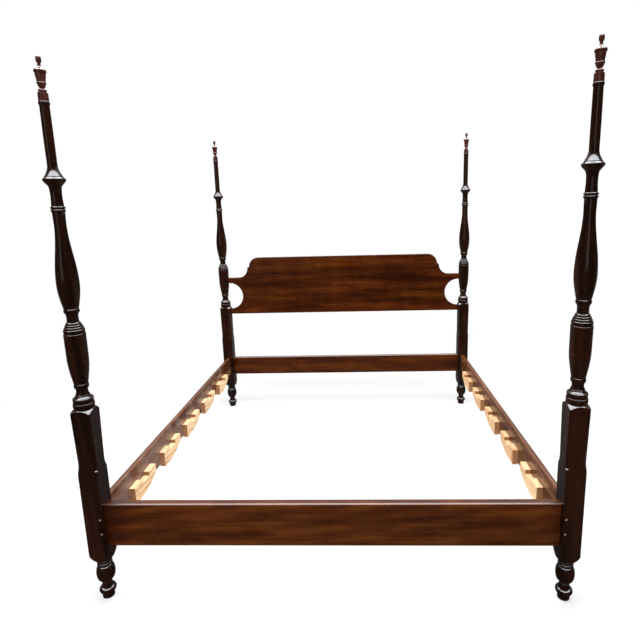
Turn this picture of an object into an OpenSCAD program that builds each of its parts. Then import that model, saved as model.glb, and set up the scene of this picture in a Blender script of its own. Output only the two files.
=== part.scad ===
// Four-poster bed frame with turned posts, a shaped headboard and slat blocks.
// Millimetres. Z is up from the floor, X runs across the bed and Y from foot to head.
// The origin is on the floor, midway between the four posts.

/* [Overall] */
// Distance between post centres across the bed
span_x = 2000; // [1500:10:2100]
// Distance between post centres from foot to head
span_y = 2130; // [2100:10:2300]
// Height of the top edge of the head rail and the side rails
rail_top = 446; // [446:1:456]

/* [Posts] */
// Width of the square part of a post
block_w = 82; // [82:1:90]
// Height where the square part starts, above the turned foot
block_base = 181; // [180:1:182]
// Height of the corners of the square part at its top
block_shoulder = 866; // [864:1:868]
// Height where the turning starts again above the square part
pommel_top = 896; // [894:1:898]
// Width of a corner chamfer above its stop, along each face: it narrows upwards from there
chamfer_w = 13.5; // [11:0.5:16]
// Width of a corner chamfer at the top of the square part
chamfer_top_w = 3.5; // [2.5:0.5:5]
// Lowest point of the chamfers
chamfer_low = 592; // [580:1:606]
// Length of the curved stop at the low end of a chamfer
chamfer_stop = 64; // [50:1:80]
// Depth of the small step halfway up the stop
chamfer_step = 2.6; // [1:0.1:4]
// Height of the post without its finial
post_top = 2086; // [2084:1:2090]

/* [Rails] */
// Thickness of the head rail and the side rails
rail_t = 30; // [24:1:34]
// Thickness of the foot rail
foot_rail_t = 40; // [32:1:44]
// Height of the foot rail's top edge above the floor
foot_rail_top = 459; // [455:1:463]
// Height of the foot rail
foot_rail_h = 195; // [180:1:205]
// Height of the head rail and the side rails
side_rail_h = 150; // [148:1:160]
// Radius on the rails' top edges
rail_edge_r = 9; // [2:1:12]
// Thickness of the rail tenons
tenon_t = 12; // [10:1:16]
// Length of the rail tenons
tenon_l = 45; // [40:1:48]
// Depth of the shoulder above and below a tenon
tenon_shoulder = 20; // [15:1:25]
// Diameter of the pegs that lock the tenons
peg_d = 9; // [7:0.5:10]
// Height of the lower peg of each tenon
peg_low_z = 333; // [325:1:345]
// Height of the upper peg of each tenon
peg_high_z = 400; // [385:1:410]

/* [Headboard] */
// Height of the headboard's lower edge
board_low = 830; // [826:1:834]
// Height of the headboard's crest
board_high = 1303; // [1280:1:1320]
// Thickness of the headboard
board_t = 22; // [18:1:26]
// Height of each arm that reaches a post
arm_h = 44; // [36:1:46]
// Top edge of the upper arms
arm_top = 1137; // [1130:1:1140]
// Half the width of the straight crest
crest_half = 702; // [600:1:720]
// Radius of the hollow curves that fall from the step to the arms
hollow_r = 78; // [70:1:90]
// Width of the small step in the shoulders
step_w = 16; // [8:1:18]
// Height of the small step in the shoulders
step_h = 10; // [2:1:12]

/* [Slat blocks] */
// Number of slat blocks on each side rail
block_count = 5; // [5:1:5]
// Spacing of the slat blocks along the rail
block_pitch = 353; // [300:1:360]
// Length of a slat block
slat_block_l = 236; // [200:1:240]
// Thickness of a slat block
slat_block_t = 29; // [24:1:32]
// Height of a slat block's top above the rail's lower edge
slat_block_rise = 74; // [60:1:90]
// How far a slat block hangs below the rail
slat_block_drop = 8; // [0:1:12]
// Height of a slat block's toe, its end towards the headboard
slat_block_toe = 38; // [30:1:60]
// Width of the notch for a slat
notch_w = 76; // [64:1:90]
// Depth of the notch for a slat
notch_d = 22; // [16:1:28]

/* [Finials] */
// Diameter of the steel pin in a finial
finial_pin_d = 10; // [8:1:10]
// Length of the pin inside the finial, and below it in the post
finial_pin_l = 35; // [25:1:36]

/* [Hidden] */

$fn = 72;

// Sides of the bed: left and right as seen from the foot
left = -1;
right = 1;
foot = -1;
head = 1;

// Colours
post_colour = [0.17, 0.07, 0.05];
finial_colour = [0.34, 0.13, 0.08];
rail_colour = [0.36, 0.17, 0.09];
board_colour = [0.33, 0.13, 0.06];
pine_colour = [0.87, 0.68, 0.45];
steel_colour = [0.6, 0.6, 0.62];
peg_colour = [0.5, 0.32, 0.2];

half_block = block_w / 2;
foot_rail_low = foot_rail_top - foot_rail_h;
side_rail_low = rail_top - side_rail_h;
rail_gap_x = span_x - block_w;
rail_gap_y = span_y - block_w;
// Glue room at the end of a mortise, and the play around a tenon
mortise_end = 2;
tenon_play = 0.1;
// The shaft of a finial pin turns freely in the post
pin_play = 0.08;
finial_bore_d = finial_pin_d + 2 * pin_play;
finial_bore_end = 4;
// Room that a cutter takes past a face
cut = 1;
peg_z = [peg_low_z, peg_high_z];
// How deep a peg goes, and how far it stands proud
peg_l = 62;
peg_proud = 0.6;
// Distance from the post's centre to the pegs, towards the bed
peg_offset = 28;

// Steel hook plates in the ends of the side rails
plate_w = 18;
plate_t = 3;
plate_h = 130;
plate_z = side_rail_low + side_rail_h / 2;
hook_t = 4;
hook_reach = 14;
hook_up = 14;
hook_down = 12;
hook_z = [plate_z - 35, plate_z + 35];
hook_pin_r = 3;
hook_pin_reach = 7;
hook_pin_l = 55;
hook_slot_w = 5;
hook_slot_d = 17;
// Room below the hooks, and above them for lifting the rail off
hook_slot_below = 16;
hook_slot_above = 30;
plate_screw_z = [plate_z - 58, plate_z, plate_z + 58];
screw_r = 2;
screw_head_r = 4;
screw_head_h = 2.4;
plate_screw_l = 32;
block_screw_l = 42;
block_screw_offset = 78;
block_screw_rise = 32;
screw_play = 0.05;

// Headboard joinery: how deep the arms enter the posts
arm_entry = 26;

// Points [radius, height] of a half-round bead on a core
function bead(z0, z1, core, r, n = 8) =
    [for (i = [0:n]) let (a = 180 * i / n)
        [core + (r - core) * sin(a), z0 + (z1 - z0) * (1 - cos(a)) / 2]];

// Points of an S-shaped change of radius
function ogee(z0, r0, z1, r1, n = 10) =
    [for (i = [0:n]) let (t = i / n)
        [r0 + (r1 - r0) * (1 - cos(180 * t)) / 2, z0 + (z1 - z0) * t]];

// Points of a swelling curve, steep in radius at first and then level
function swell(z0, r0, z1, r1, n = 8) =
    [for (i = [0:n]) let (t = i / n)
        [r0 + (r1 - r0) * sin(90 * t), z0 + (z1 - z0) * t]];

// Points of a bell curve, level in radius at first and then steep
function bell(z0, r0, z1, r1, n = 8) =
    [for (i = [0:n]) let (t = i / n)
        [r0 + (r1 - r0) * (1 - cos(90 * t)), z0 + (z1 - z0) * t]];

// The same points from the other end
function reversed(points) = [for (i = [len(points) - 1:-1:0]) points[i]];

// Points of a plain band with a small round on both edges
function band(z0, z1, r, ease = 1.2) =
    [[r - ease, z0], [r, z0 + ease], [r, z1 - ease], [r - ease, z1]];

// Foot of the post, from the floor to the square part
foot_turning = concat(
    [[0, 0], [22, 0], [24.5, 2.5], [26, 26]],
    bead(27, 53, 24, 35),
    ogee(54, 23.5, 72, 20.5, 4),
    ogee(72, 20.5, 88, 25, 4),
    bead(88, 160, 25, 38.5, 14),
    bead(163, 175, 25, 31.5, 6),
    [[27, 176], [28.5, block_base], [0, block_base]]
);

// Turned shoulder at the top of the square part: how far its curve stands out from the flat
// faces, and its height as a share of the way from the corners to the pommel's top
shoulder_curve = [
    [18.9, 0], [16.9, 0.03], [16.2, 0.17], [14, 0.35], [10, 0.52], [5, 0.63],
    [0.6, 0.73], [-1.9, 0.79], [-2.6, 1]
];
shoulder_rise = pommel_top - block_shoulder;

// Outside limit of the square part: turned shoulders at both ends
corner_r = block_w * sqrt(2) / 2 + 2;
block_limit = concat(
    [[0, block_base], [28.5, block_base]],
    swell(block_base + 2, 29.5, 240, corner_r, 6),
    [for (p = shoulder_curve) [half_block + p[0], block_shoulder + shoulder_rise * p[1]]],
    [[0, pommel_top]]
);

// Beads of the stacked collar, from the widest up: start, end, core and radius
collar_beads = [
    [1215.5, 1225, 36.6, 40],
    [1225.5, 1234.6, 33, 36.4],
    [1235.1, 1244, 28.8, 32.4],
    [1244.5, 1253, 24, 27.8]
];

// From the pommel up to the top of the shaft
upper_turning = concat(
    [[0, pommel_top], [38.2, pommel_top]],
    // broad band, hollow and bead above the pommel
    band(pommel_top + 1, 915, 41, 1.6),
    [[38.8, 916], [38.4, 920], [38.7, 925]],
    bead(925.5, 937, 36.5, 39.6, 6),
    // flare, neck and ring below the vase
    [[34.6, 937.4]],
    swell(938, 34.6, 949, 27.2, 4),
    ogee(949.5, 26.6, 962, 22.6, 5),
    [[22.4, 968], [22.8, 974], [24.4, 978]],
    bead(979, 997, 25, 28.5, 6),
    // vase
    swell(998, 26.8, 1115, 40.2, 10),
    [[40.6, 1195]],
    // stacked collar: a band with a hollow above it, then the beads
    [[40.8, 1198.6], [40.8, 1205.4], [39.2, 1207]],
    [[38.9, 1208], [38.7, 1212], [38.9, 1215]],
    [for (b = collar_beads) each bead(b[0], b[1], b[2], b[3], 6)],
    // neck and ring below the bulb
    [[22.6, 1254], [21.8, 1262], [21.7, 1278], [22.6, 1284], [24.4, 1289]],
    bead(1291, 1309, 25, 29, 6),
    // bulb
    swell(1310, 27.5, 1408, 41, 8),
    ogee(1408, 41, 1640, 21.4, 16),
    [[22.3, 1685]],
    // double ring and upper neck
    bead(1685.5, 1695.5, 22, 25.8, 6),
    bead(1696.5, 1706.5, 22, 25.8, 6),
    ogee(1707.5, 21.6, 1745, 19.9, 4),
    [[20.2, 1759], [20.9, 1768], [21.8, 1776]],
    // broad collar: a long hollow underside and a thin disc
    [[23.4, 1781.5], [26.4, 1786], [30, 1790], [33.6, 1794], [36.4, 1797.5], [38, 1800]],
    bead(1800.5, 1809.5, 37.6, 39.9, 6),
    [[36.6, 1811.4], [34.6, 1813.4], [32.6, 1814.4], [32.2, 1815.6], [32, 1817]],
    // bell above the disc, and the shaft
    reversed(bell(1858, 17.4, 1817.6, 31.6, 8)),
    [[17.6, 1950], [16.9, 2071]],
    bead(2072, post_top - 1, 17, 19.4, 8),
    [[17.6, post_top], [0, post_top]]
);

// Finial, measured from the top of the post
finial_turning = concat(
    [[0, 0], [16.6, 0], [17.6, 1], [17.6, 27], [16.8, 28.5], [12, 29]],
    bead(30, 41, 11, 14.3, 8),
    [[8, 42], [7.8, 44]],
    swell(45, 8.5, 58, 13.8, 5),
    bead(59, 65, 14, 16.3, 6),
    ogee(66, 14.6, 95, 17.8, 6),
    bead(96, 109, 17, 21, 8),
    reversed(bell(121, 6.2, 110, 14.4, 6)),
    [[5.6, 123], [5.6, 130]],
    bead(131, 155, 5.4, 9.6, 12),
    [[3.4, 156.5], [1.6, 159], [0, 160]]
);

module at_post(side, end) {
    translate([side * span_x / 2, end * span_y / 2, 0])
        mirror([side > 0 ? 1 : 0, 0, 0])
            mirror([0, end > 0 ? 1 : 0, 0])
                children();
}

// ---- posts, drawn at the foot's left corner: the bed lies towards +X and +Y ----

module corner_chamfers() {
    corner = block_w * sqrt(2) / 2;
    depth = chamfer_w / sqrt(2);
    top_depth = chamfer_top_w / sqrt(2);
    curve_l = (chamfer_stop - chamfer_step) / 2;
    curve_d = (depth - chamfer_step) / 2;
    below_step = [for (i = [0:5]) let (t = i / 5)
        [corner - curve_d * (1 - cos(90 * t)), chamfer_low + curve_l * t]];
    step_top = [corner - curve_d - chamfer_step, chamfer_low + curve_l + chamfer_step];
    above_step = [for (i = [0:5]) let (t = i / 5)
        [step_top.x - curve_d * sin(90 * t), step_top.y + curve_l * t]];
    stop = concat(below_step, above_step);
    outer = corner + 12;
    high = pommel_top + cut;
    for (turn = [0:3])
        rotate([0, 0, 45 + 90 * turn])
            rotate([90, 0, 0])
                linear_extrude(chamfer_w * 2, center = true)
                    polygon(concat(stop, [[corner - top_depth, high], [outer, high], [outer, chamfer_low]]));
}

module post_blank() {
    rotate_extrude() polygon(foot_turning);
    difference() {
        intersection() {
            rotate_extrude() polygon(block_limit);
            translate([-half_block, -half_block, block_base])
                cube([block_w, block_w, pommel_top - block_base]);
        }
        corner_chamfers();
    }
    rotate_extrude() polygon(upper_turning);
}

module rail_mortise(rail_low, rail_h) {
    low = rail_low + tenon_shoulder - tenon_play;
    high = rail_low + rail_h - tenon_shoulder + tenon_play;
    translate([half_block - tenon_l - mortise_end, -tenon_t / 2 - tenon_play, low])
        cube([tenon_l + mortise_end + cut, tenon_t + 2 * tenon_play, high - low]);
}

module peg_bores() {
    for (z = peg_z)
        translate([peg_offset, -half_block - cut, z])
            rotate([-90, 0, 0]) cylinder(d = peg_d, h = peg_l + cut);
}

module hook_slot() {
    slot_low = hook_z[0] - hook_slot_below;
    slot_high = hook_z[1] + hook_slot_above;
    translate([-hook_slot_w / 2, half_block - hook_slot_d, slot_low])
        cube([hook_slot_w, hook_slot_d + cut, slot_high - slot_low]);
    for (z = hook_z)
        translate([half_block + cut, half_block - hook_pin_reach, z])
            rotate([0, -90, 0]) cylinder(r = hook_pin_r, h = hook_pin_l + cut);
}

module finial_bore() {
    translate([0, 0, post_top - finial_pin_l - finial_bore_end])
        cylinder(d = finial_bore_d, h = finial_pin_l + finial_bore_end + cut);
}

module board_mortises() {
    for (z = [board_low, arm_top - arm_h])
        translate([half_block - arm_entry - mortise_end, -board_t / 2 - tenon_play, z - tenon_play])
            cube([arm_entry + mortise_end + cut, board_t + 2 * tenon_play, arm_h + 2 * tenon_play]);
}

module foot_post() {
    color(post_colour) difference() {
        post_blank();
        rail_mortise(foot_rail_low, foot_rail_h);
        peg_bores();
        hook_slot();
        finial_bore();
    }
}

module head_post() {
    color(post_colour) difference() {
        post_blank();
        rail_mortise(side_rail_low, side_rail_h);
        peg_bores();
        hook_slot();
        finial_bore();
        board_mortises();
    }
}

// ---- finials ----

module finial() {
    color(finial_colour) translate([0, 0, post_top]) difference() {
        rotate_extrude() polygon(finial_turning);
        translate([0, 0, -cut]) cylinder(d = finial_pin_d, h = finial_pin_l + cut);
    }
}

module finial_pin() {
    color(steel_colour)
        translate([0, 0, post_top - finial_pin_l]) cylinder(d = finial_pin_d, h = 2 * finial_pin_l);
}

// ---- rails ----

module rail_section(h, thick) {
    square([thick, h - rail_edge_r]);
    translate([rail_edge_r, 0]) square([thick - 2 * rail_edge_r, h]);
    for (x = [rail_edge_r, thick - rail_edge_r])
        translate([x, h - rail_edge_r]) circle(r = rail_edge_r);
}

// A rail along Y, centred, its lower edge at height 0
module rail_bar(length, h, thick) {
    translate([-thick / 2, length / 2, 0])
        rotate([90, 0, 0]) linear_extrude(length) rail_section(h, thick);
}

// A rail across the bed with a tenon at each end, bored for its pegs
module cross_rail(low, h, thick, end) {
    color(rail_colour) difference() {
        translate([0, end * span_y / 2, low]) {
            rotate([0, 0, 90]) rail_bar(rail_gap_x, h, thick);
            translate([-rail_gap_x / 2 - tenon_l, -tenon_t / 2, tenon_shoulder])
                cube([rail_gap_x + 2 * tenon_l, tenon_t, h - 2 * tenon_shoulder]);
        }
        for (side = [left, right]) at_post(side, end) peg_bores();
    }
}

module side_rail(side) {
    color(rail_colour) difference() {
        translate([side * span_x / 2, 0, side_rail_low]) rail_bar(rail_gap_y, side_rail_h, rail_t);
        for (end = [foot, head]) at_post(side, end) {
            translate([-plate_w / 2, half_block - cut, plate_z - plate_h / 2])
                cube([plate_w, plate_t + cut, plate_h]);
            for (z = plate_screw_z)
                translate([0, half_block, z]) rotate([-90, 0, 0])
                    cylinder(r = screw_r + screw_play, h = plate_screw_l + cut);
        }
        slat_block_screw_places(side)
            cylinder(r = screw_r + screw_play, h = block_screw_l + cut);
    }
}

// ---- rail hooks ----

module hook_profile() {
    difference() {
        translate([-hook_reach, -hook_down]) square([hook_reach + plate_t / 2, hook_down + hook_up]);
        translate([-hook_pin_reach, 0]) circle(r = hook_pin_r + screw_play);
        translate([-hook_pin_reach - hook_pin_r - screw_play, -hook_down - cut])
            square([2 * (hook_pin_r + screw_play), hook_down + cut]);
    }
}

module screw_head() {
    cylinder(r1 = screw_head_r, r2 = screw_r, h = screw_head_h);
}

module wood_screw(length) {
    cylinder(r = screw_r, h = length - screw_r);
    translate([0, 0, length - screw_r]) cylinder(r1 = screw_r, r2 = screw_r / 5, h = screw_r);
    screw_head();
}

module hook_plate(side, end) {
    color(steel_colour) at_post(side, end) difference() {
        union() {
            translate([-plate_w / 2, half_block, plate_z - plate_h / 2]) cube([plate_w, plate_t, plate_h]);
            for (z = hook_z)
                translate([-hook_t / 2, half_block, z])
                    rotate([90, 0, 90]) linear_extrude(hook_t) hook_profile();
        }
        for (z = plate_screw_z)
            translate([0, half_block, z]) rotate([-90, 0, 0]) {
                cylinder(r = screw_r + screw_play, h = plate_t + cut);
                screw_head();
            }
    }
}

module hook_plate_screws() {
    color(steel_colour)
        for (side = [left, right], end = [foot, head]) at_post(side, end)
            for (z = plate_screw_z)
                translate([0, half_block, z]) rotate([-90, 0, 0]) wood_screw(plate_screw_l);
}

module hook_pins() {
    color(steel_colour)
        for (side = [left, right], end = [foot, head]) at_post(side, end)
            for (z = hook_z)
                translate([half_block - 0.5, half_block - hook_pin_reach, z])
                    rotate([0, -90, 0]) cylinder(r = hook_pin_r, h = hook_pin_l - 0.5);
}

// ---- pegs ----

module rail_pegs(end) {
    color(peg_colour)
        for (side = [left, right]) at_post(side, end)
            for (z = peg_z)
                translate([peg_offset, -half_block - peg_proud, z])
                    rotate([-90, 0, 0]) cylinder(d = peg_d, h = peg_l + peg_proud);
}

// ---- headboard ----

// Points along an arc about a centre
function arc_points(cx, cz, r, a0, a1, n = 12) =
    [for (i = [0:n]) let (a = a0 + (a1 - a0) * i / n) [cx + r * cos(a), cz + r * sin(a)]];

board_end = span_x / 2 - half_block + arm_entry;
// The cut-outs are round, centred just inside the posts' faces
cutout_x = span_x / 2 - half_block - 4;
cutout_r = (arm_top - 2 * arm_h - board_low) / 2;
cutout_z = board_low + arm_h + cutout_r;
// The crest's round shoulder, the step below it and the hollow down to the arm
hollow_top = arm_top + hollow_r;
shoulder_r = board_high - hollow_top - step_h;
shoulder_x = crest_half + shoulder_r;
step_round = 6;
half_board = concat(
    [[0, board_low], [board_end, board_low], [board_end, arm_top]],
    arc_points(shoulder_x + step_w + hollow_r, hollow_top, hollow_r, 270, 180),
    [[shoulder_x + step_w - step_round, board_high - shoulder_r - 1]],
    arc_points(crest_half, board_high - shoulder_r, shoulder_r, 0, 90),
    [[0, board_high]]
);

// Right half of the outline
module board_half() {
    difference() {
        polygon(half_board);
        translate([cutout_x, cutout_z]) circle(r = cutout_r);
        translate([cutout_x, cutout_z - cutout_r])
            square([board_end - cutout_x + cut, 2 * cutout_r]);
    }
}

module headboard() {
    color(board_colour)
        translate([0, span_y / 2 + board_t / 2, 0]) rotate([90, 0, 0])
            linear_extrude(board_t) {
                board_half();
                mirror([1, 0]) board_half();
            }
}

// ---- slat blocks ----

function slat_block_y(i) = (i - (block_count + 1) / 2) * block_pitch;

// Outline along the rail: flat top with the slat's notch, lower edge curving up to the toe
module slat_block_outline() {
    half_l = slat_block_l / 2;
    curve_start = -0.15 * slat_block_l;
    climb = slat_block_rise + slat_block_drop - slat_block_toe;
    curve = [for (i = [0:12]) let (t = i / 12)
        [curve_start + (half_l - curve_start) * t, -slat_block_drop + climb * t * t]];
    polygon(concat([[-half_l, -slat_block_drop]], curve, [
        [half_l, slat_block_rise], [notch_w / 2, slat_block_rise],
        [notch_w / 2, slat_block_rise - notch_d], [-notch_w / 2, slat_block_rise - notch_d],
        [-notch_w / 2, slat_block_rise], [-half_l, slat_block_rise]
    ]));
}

// Puts its child at each screw of one slat block, pointing outwards through the block
module slat_block_screws_at(side, i) {
    for (along = [-block_screw_offset, block_screw_offset])
        translate([side * (span_x / 2 - rail_t / 2 - slat_block_t), slat_block_y(i) + along,
            side_rail_low + block_screw_rise])
            rotate([0, side * 90, 0]) children();
}

module slat_block_screw_places(side) {
    for (i = [1:block_count]) slat_block_screws_at(side, i) children();
}

module slat_block(side, i) {
    color(pine_colour) difference() {
        translate([side * (span_x / 2 - rail_t / 2 - slat_block_t / 2), slat_block_y(i), side_rail_low])
            rotate([90, 0, 90]) linear_extrude(slat_block_t, center = true) slat_block_outline();
        slat_block_screws_at(side, i) {
            cylinder(r = screw_r + screw_play, h = slat_block_t + cut);
            screw_head();
        }
    }
}

module slat_block_screws() {
    color(steel_colour)
        for (side = [left, right]) slat_block_screw_places(side) wood_screw(block_screw_l);
}

at_post(left, foot) foot_post();  // post_foot_left
at_post(right, foot) foot_post();  // post_foot_right
at_post(left, head) head_post();  // post_head_left
at_post(right, head) head_post();  // post_head_right
at_post(left, foot) finial();  // finial_foot_left
at_post(right, foot) finial();  // finial_foot_right
at_post(left, head) finial();  // finial_head_left
at_post(right, head) finial();  // finial_head_right
at_post(left, foot) finial_pin();  // finial_pin_foot_left
at_post(right, foot) finial_pin();  // finial_pin_foot_right
at_post(left, head) finial_pin();  // finial_pin_head_left
at_post(right, head) finial_pin();  // finial_pin_head_right
cross_rail(foot_rail_low, foot_rail_h, foot_rail_t, foot);  // foot_rail
cross_rail(side_rail_low, side_rail_h, rail_t, head);  // head_rail
side_rail(left);  // side_rail_left
side_rail(right);  // side_rail_right
headboard();
slat_block(left, 1);  // slat_block_left_1
slat_block(left, 2);  // slat_block_left_2
slat_block(left, 3);  // slat_block_left_3
slat_block(left, 4);  // slat_block_left_4
slat_block(left, 5);  // slat_block_left_5
slat_block(right, 1);  // slat_block_right_1
slat_block(right, 2);  // slat_block_right_2
slat_block(right, 3);  // slat_block_right_3
slat_block(right, 4);  // slat_block_right_4
slat_block(right, 5);  // slat_block_right_5
rail_pegs(foot);  // foot_rail_pegs
rail_pegs(head);  // head_rail_pegs
slat_block_screws();
hook_plate(left, foot);  // hook_plate_foot_left
hook_plate(right, foot);  // hook_plate_foot_right
hook_plate(left, head);  // hook_plate_head_left
hook_plate(right, head);  // hook_plate_head_right
hook_plate_screws();
hook_pins();
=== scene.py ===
import math
import bpy
from mathutils import Matrix, Vector


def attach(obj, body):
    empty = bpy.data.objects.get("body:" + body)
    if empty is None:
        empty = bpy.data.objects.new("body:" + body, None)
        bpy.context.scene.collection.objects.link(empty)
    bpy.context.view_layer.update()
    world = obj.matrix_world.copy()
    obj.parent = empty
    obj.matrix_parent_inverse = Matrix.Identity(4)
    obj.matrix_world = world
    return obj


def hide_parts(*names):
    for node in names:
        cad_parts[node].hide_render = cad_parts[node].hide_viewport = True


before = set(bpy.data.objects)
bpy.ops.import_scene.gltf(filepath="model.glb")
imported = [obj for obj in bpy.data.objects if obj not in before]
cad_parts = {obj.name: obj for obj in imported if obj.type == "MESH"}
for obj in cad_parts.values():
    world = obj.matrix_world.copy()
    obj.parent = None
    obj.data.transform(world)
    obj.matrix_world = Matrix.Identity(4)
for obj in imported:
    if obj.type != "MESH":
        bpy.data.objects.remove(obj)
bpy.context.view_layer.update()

mm = 0.001
near = 0.00001  # metres within which two places count as the same
weldGap = 0.000002  # metres within which points are merged
print("frame loaded,", len(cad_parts), "nodes")

# the camera stands where the photo was taken from
photoView = {
    "place": (0.152, -2.887, 1.660),  # metres
    "turn": 2.209, "down": 10.628, "roll": -1.453,  # degrees
    "lens": 26.865, "sensor": 36,  # millimetres
    "shiftX": -0.03625, "shiftY": -0.0292,
}

cameraData = bpy.data.cameras.new("photoCamera")
cameraData.sensor_width = photoView["sensor"]
cameraData.lens = photoView["lens"]
cameraData.shift_x = photoView["shiftX"]
cameraData.shift_y = photoView["shiftY"]
camera = bpy.data.objects.new("photoCamera", cameraData)
bpy.context.scene.collection.objects.link(camera)
camera.matrix_world = (
    Matrix.Translation(photoView["place"])
    @ Matrix.Rotation(math.radians(photoView["turn"]), 4, "Z")
    @ Matrix.Rotation(math.radians(90 - photoView["down"]), 4, "X")
    @ Matrix.Rotation(math.radians(photoView["roll"]), 4, "Z")
)
bpy.context.scene.camera = camera
bpy.context.scene.view_settings.view_transform = "Standard"


# tools for working on pieces

def clearSelection():
    if bpy.context.mode != "OBJECT":
        bpy.ops.object.mode_set(mode="OBJECT")
    bpy.ops.object.select_all(action="DESELECT")


def takeUp(piece):  # makes it the one piece that operators work on
    clearSelection()
    piece.select_set(True)
    bpy.context.view_layer.objects.active = piece


def settle(piece):  # moves the piece's place into its mesh
    takeUp(piece)
    bpy.ops.object.transform_apply(location=True, rotation=True, scale=True)


def selectWhere(piece, kind, test):  # kind is "FACE" or "EDGE"; edit mode stays on
    takeUp(piece)
    bpy.ops.object.mode_set(mode="EDIT")
    bpy.ops.mesh.select_mode(type=kind)
    bpy.ops.mesh.select_all(action="DESELECT")
    bpy.ops.object.mode_set(mode="OBJECT")
    mesh = piece.data
    if kind == "FACE":
        for face in mesh.polygons:
            face.select = bool(test(face.center, face.normal))
    else:
        for edge in mesh.edges:
            first, second = (mesh.vertices[i].co for i in edge.vertices)
            edge.select = bool(test(first, second))
    bpy.ops.object.mode_set(mode="EDIT")


def addBox(name, low, high):
    clearSelection()
    middle = [(a + b) / 2 for a, b in zip(low, high)]
    size = [b - a for a, b in zip(low, high)]
    bpy.ops.mesh.primitive_cube_add(size=1, location=middle, scale=size)
    piece = bpy.context.object
    piece.name = name
    settle(piece)
    return piece


def roundEdges(piece, width, steps, test):  # bevels the edges whose two ends pass the test
    selectWhere(piece, "EDGE", test)
    bpy.ops.mesh.bevel(offset=width, offset_type="OFFSET", segments=steps, profile=0.5)
    bpy.ops.object.mode_set(mode="OBJECT")


def applyModifier(piece, kind, **settings):
    takeUp(piece)
    modifier = piece.modifiers.new(kind.lower(), kind)
    for name, value in settings.items():
        setattr(modifier, name, value)
    bpy.ops.object.modifier_apply(modifier=modifier.name)


def combine(piece, other, operation):  # the other piece is used up
    applyModifier(piece, "BOOLEAN", operation=operation, object=other, solver="EXACT")
    bpy.data.objects.remove(other, do_unlink=True)


def easeEdges(piece, width, steps, angle):
    applyModifier(piece, "BEVEL", width=width, segments=steps, limit_method="ANGLE",
                  angle_limit=math.radians(angle), miter_outer="MITER_ARC")


def smooth(piece, angle=34, flat=None):  # faces that pass the flat test are shaded flat
    takeUp(piece)
    bpy.ops.object.shade_smooth_by_angle(angle=math.radians(angle))
    if flat:
        selectWhere(piece, "FACE", flat)
        bpy.ops.mesh.faces_shade_flat()
        bpy.ops.object.mode_set(mode="OBJECT")
    else:
        applyModifier(piece, "WEIGHTED_NORMAL", keep_sharp=True, weight=50)


def drawChain(name, points):  # one point drawn out into a chain of edges; edit mode stays on
    clearSelection()
    bpy.ops.mesh.primitive_plane_add(size=mm, location=points[0])
    piece = bpy.context.object
    piece.name = name
    settle(piece)
    bpy.ops.object.mode_set(mode="EDIT")
    bpy.ops.mesh.select_mode(type="VERT")
    bpy.ops.mesh.select_all(action="SELECT")
    bpy.ops.mesh.merge(type="CENTER")
    for here, there in zip(points, points[1:]):
        move = Vector(there) - Vector(here)
        bpy.ops.mesh.extrude_region_move(TRANSFORM_OT_translate={"value": move})
    return piece


def turnFacesOut():  # of a closed mesh in edit mode, which it leaves
    bpy.ops.mesh.select_all(action="SELECT")
    bpy.ops.mesh.normals_make_consistent(inside=False)
    bpy.ops.object.mode_set(mode="OBJECT")


def weld(piece):  # merges points that lie on one another, as cutting and joining leave them
    takeUp(piece)
    bpy.ops.object.mode_set(mode="EDIT")
    bpy.ops.mesh.select_mode(type="VERT")
    bpy.ops.mesh.select_all(action="SELECT")
    bpy.ops.mesh.remove_doubles(threshold=weldGap)
    bpy.ops.mesh.dissolve_degenerate(threshold=weldGap)
    turnFacesOut()


def turnOnLathe(name, profile, steps):  # profile is radius and height in millimetres
    piece = drawChain(name, [(radius * mm, 0, height * mm) for radius, height in profile])
    bpy.ops.mesh.select_all(action="SELECT")
    bpy.ops.mesh.spin(steps=steps, angle=2 * math.pi, center=(0, 0, 0), axis=(0, 0, 1))
    bpy.ops.mesh.select_all(action="SELECT")
    bpy.ops.mesh.remove_doubles(threshold=weldGap)
    turnFacesOut()
    return piece


def sawOut(name, outline, sweep):  # a closed outline filled, then drawn out along sweep
    piece = drawChain(name, outline)
    bpy.ops.mesh.select_all(action="SELECT")
    bpy.ops.mesh.edge_face_add()
    bpy.ops.mesh.extrude_region_move(TRANSFORM_OT_translate={"value": sweep})
    turnFacesOut()
    return piece


def copyTo(piece, name, place, turn=(0, 0, 0), mirrored=False):  # a copy with its own mesh
    takeUp(piece)
    bpy.ops.object.duplicate(linked=False)
    other = bpy.context.object
    other.name = name
    other.rotation_euler = turn
    other.location = place
    if mirrored:
        other.scale = (-1, 1, 1)
    settle(other)
    if mirrored:
        bpy.ops.object.mode_set(mode="EDIT")
        turnFacesOut()
    return other


def joinAll(pieces, name):
    clearSelection()
    for one in pieces:
        one.select_set(True)
    bpy.context.view_layer.objects.active = pieces[0]
    bpy.ops.object.join()
    joined = bpy.context.object
    joined.name = name
    return joined


def dress(piece, material, slot, body, *nodes):
    piece.data.materials.clear()
    piece.data.materials.append(material)
    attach(piece, body)
    if nodes:
        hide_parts(*nodes)


# curves of a turned profile, as lists of radius and height

def bead(low, high, core, radius, count=12):
    curve = []
    for i in range(count + 1):
        angle = math.pi * i / count
        curve.append((core + (radius - core) * math.sin(angle),
                      low + (high - low) * (1 - math.cos(angle)) / 2))
    return curve


def curveBetween(low, lowRadius, high, highRadius, count, rise):
    curve = []
    for i in range(count + 1):
        t = i / count
        curve.append((lowRadius + (highRadius - lowRadius) * rise(t), low + (high - low) * t))
    return curve


def sShape(low, lowRadius, high, highRadius, count=12):
    return curveBetween(low, lowRadius, high, highRadius, count,
                        lambda t: (1 - math.cos(math.pi * t)) / 2)


def swell(low, lowRadius, high, highRadius, count):
    return curveBetween(low, lowRadius, high, highRadius, count, lambda t: math.sin(math.pi / 2 * t))


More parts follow.
